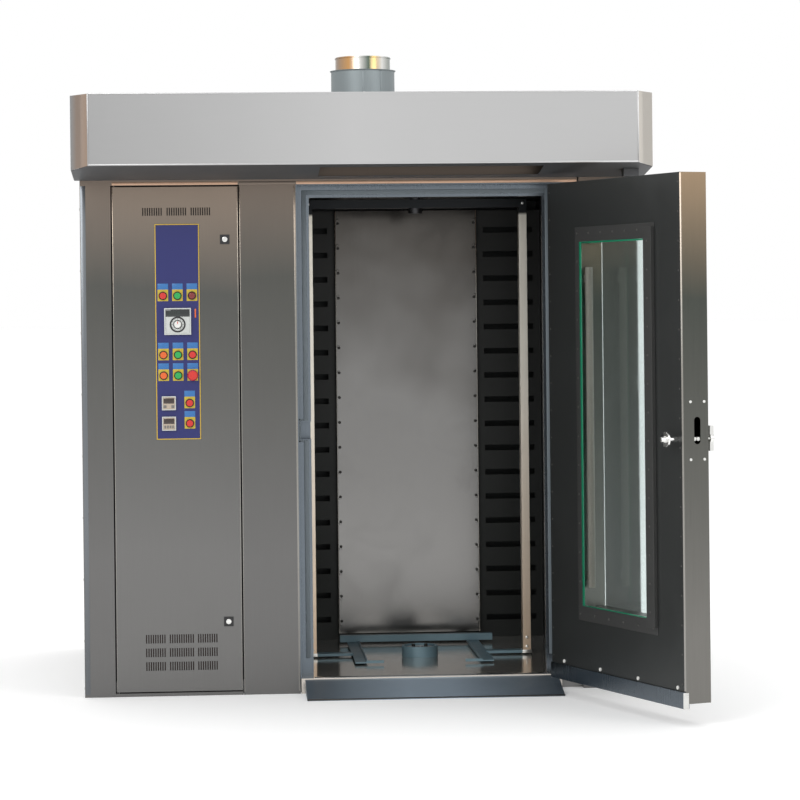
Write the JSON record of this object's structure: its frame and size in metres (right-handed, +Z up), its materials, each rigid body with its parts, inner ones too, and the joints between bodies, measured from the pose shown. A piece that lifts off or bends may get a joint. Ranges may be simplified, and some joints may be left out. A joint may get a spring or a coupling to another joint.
{
  "type": "rotating rack oven",
  "caption": "Floor-standing rotating rack oven: cabinet with service bay, steam hood and flue, glazed swing door, and a rotor frame that turns a rack trolley inside the chamber.",
  "frame": {"origin": "centre of the cabinet base on the floor", "axes": "+Z up, -Y towards the front where the doors are, +X to the right seen from the front"},
  "size_m": [2.1407, 2.495, 2.3],
  "materials": {
    "stainless": "brushed stainless sheet, fine vertical grain",
    "bright_steel": "bright stainless sheet, fine grain",
    "dark_steel": "dark heat-toned stainless sheet",
    "blue_grey_paint": "blue-grey paint on steel",
    "polished_steel": "polished stainless steel",
    "cast_iron": "machined cast iron and steel",
    "mineral_wool": "compressed mineral wool",
    "burner_red": "red painted burner casing",
    "motor_blue": "painted motor casing",
    "control_blue": "blue front plate with a satin gloss",
    "dark_plastic": "black plastic",
    "pale_plastic": "pale grey plastic",
    "cap_red": "red button plastic",
    "cap_green": "green button plastic",
    "cap_orange": "orange button plastic",
    "glass": "clear tempered glass with a green edge"
  },
  "bodies": {
    "cabinet": {"base_pan": "stainless", "left_side_panel": "stainless", "right_side_panel": "stainless", "rear_panel": "stainless", "roof_panel": "stainless", "front_left_frame": "stainless", "centre_front_panel": "stainless", "right_front_panel": "stainless", "door_frame": "stainless", "chamber_floor": "stainless", "chamber_left_wall": "dark_steel", "chamber_right_wall": "dark_steel", "chamber_rear_wall": "dark_steel", "chamber_ceiling": "dark_steel", "rear_air_panel": "bright_steel", "air_column_left": "dark_steel", "air_column_right": "dark_steel", "entry_ramp": "blue_grey_paint", "hood_shell": "bright_steel", "hood_soffit": "stainless", "flue_collar": "blue_grey_paint", "flue_pipe": "polished_steel", "insulation_jacket": "mineral_wool", "heat_exchanger": "dark_steel", "burner": "burner_red", "fan_motor": "motor_blue", "rotor_gearmotor": "motor_blue", "top_bearing": "cast_iron", "floor_hub": "blue_grey_paint", "door_hinge_lower": "polished_steel", "door_hinge_upper": "polished_steel"},
    "rotor": {"rotor_frame": "bright_steel", "rotor_shaft": "cast_iron", "rotor_base": "blue_grey_paint"},
    "fan": {"circulation_fan": "bright_steel"},
    "oven_door": {"door_shell": "stainless", "door_liner": "dark_steel", "window_outer_glass": "glass", "window_inner_glass": "glass", "window_trim": "stainless", "door_lamp": "pale_plastic", "door_sweep": "dark_steel"},
    "latch": {"latch_spindle": "polished_steel", "door_handle": "polished_steel"},
    "service_door": {"service_door": "stainless", "control_plate": "control_blue", "temperature_controller": "pale_plastic"},
    "lock_lower": {"lock_lower": "dark_plastic"},
    "lock_upper": {"lock_upper": "dark_plastic"},
    "dial": {"temperature_dial": "pale_plastic"},
    "button_red_1": {"button_red_1": "cap_red"},
    "button_green_1": {"button_green_1": "cap_green"},
    "button_orange_2": {"button_orange_2": "cap_orange"},
    "button_green_2": {"button_green_2": "cap_green"},
    "button_red_2": {"button_red_2": "cap_red"},
    "button_orange_3": {"button_orange_3": "cap_orange"},
    "button_green_3": {"button_green_3": "cap_green"},
    "button_red_4": {"button_red_4": "cap_red"},
    "button_red_5": {"button_red_5": "cap_red"},
    "emergency_stop": {"emergency_stop": "cap_red"}
  },
  "joints": [
    {"name": "rotor_spin", "type": "hinge", "parent": "cabinet", "child": "rotor", "pos_m": [0.24, -0.145, 1], "axis": [0, 0, 1], "continuous": true},
    {"name": "fan_spin", "type": "hinge", "parent": "cabinet", "child": "fan", "pos_m": [-0.64, 0.33, 1.6], "axis": [0, 0, 1], "continuous": true},
    {"name": "oven_door_swing", "type": "hinge", "parent": "cabinet", "child": "oven_door", "pos_m": [0.751, -0.789, 0.95], "axis": [0, 0, 1], "range_deg": [-111, 59]},
    {"name": "latch_turn", "type": "hinge", "parent": "oven_door", "child": "latch", "pos_m": [1.03544, -1.68348, 0.944], "axis": [0.9336, 0.3584, 0], "range_deg": [0, 90]},
    {"name": "service_door_swing", "type": "hinge", "parent": "cabinet", "child": "service_door", "pos_m": [-0.886, -0.742, 0.92], "axis": [0, 0, -1], "range_deg": [0, 110]},
    {"name": "lock_lower_turn", "type": "hinge", "parent": "service_door", "child": "lock_lower", "pos_m": [-0.491, -0.73, 0.265], "axis": [0, -1, 0], "range_deg": [0, 90]},
    {"name": "lock_upper_turn", "type": "hinge", "parent": "service_door", "child": "lock_upper", "pos_m": [-0.491, -0.73, 1.638], "axis": [0, -1, 0], "range_deg": [0, 90]},
    {"name": "dial_turn", "type": "hinge", "parent": "service_door", "child": "dial", "pos_m": [-0.6625, -0.77, 1.334], "axis": [0, -1, 0], "range_deg": [0, 300]},
    {"name": "button_red_1_press", "type": "slide", "parent": "service_door", "child": "button_red_1", "axis": [0, 1, 0], "range_m": [0, 0.004], "stiffness_N_per_m": 500},
    {"name": "button_green_1_press", "type": "slide", "parent": "service_door", "child": "button_green_1", "axis": [0, 1, 0], "range_m": [0, 0.004], "stiffness_N_per_m": 500},
    {"name": "button_orange_2_press", "type": "slide", "parent": "service_door", "child": "button_orange_2", "axis": [0, 1, 0], "range_m": [0, 0.004], "stiffness_N_per_m": 500},
    {"name": "button_green_2_press", "type": "slide", "parent": "service_door", "child": "button_green_2", "axis": [0, 1, 0], "range_m": [0, 0.004], "stiffness_N_per_m": 500},
    {"name": "button_red_2_press", "type": "slide", "parent": "service_door", "child": "button_red_2", "axis": [0, 1, 0], "range_m": [0, 0.004], "stiffness_N_per_m": 500},
    {"name": "button_orange_3_press", "type": "slide", "parent": "service_door", "child": "button_orange_3", "axis": [0, 1, 0], "range_m": [0, 0.004], "stiffness_N_per_m": 500},
    {"name": "button_green_3_press", "type": "slide", "parent": "service_door", "child": "button_green_3", "axis": [0, 1, 0], "range_m": [0, 0.004], "stiffness_N_per_m": 500},
    {"name": "button_red_4_press", "type": "slide", "parent": "service_door", "child": "button_red_4", "axis": [0, 1, 0], "range_m": [0, 0.004], "stiffness_N_per_m": 500},
    {"name": "button_red_5_press", "type": "slide", "parent": "service_door", "child": "button_red_5", "axis": [0, 1, 0], "range_m": [0, 0.004], "stiffness_N_per_m": 500},
    {"name": "emergency_stop_press", "type": "slide", "parent": "service_door", "child": "emergency_stop", "axis": [0, 1, 0], "range_m": [0, 0.004], "stiffness_N_per_m": 500}
  ]
}
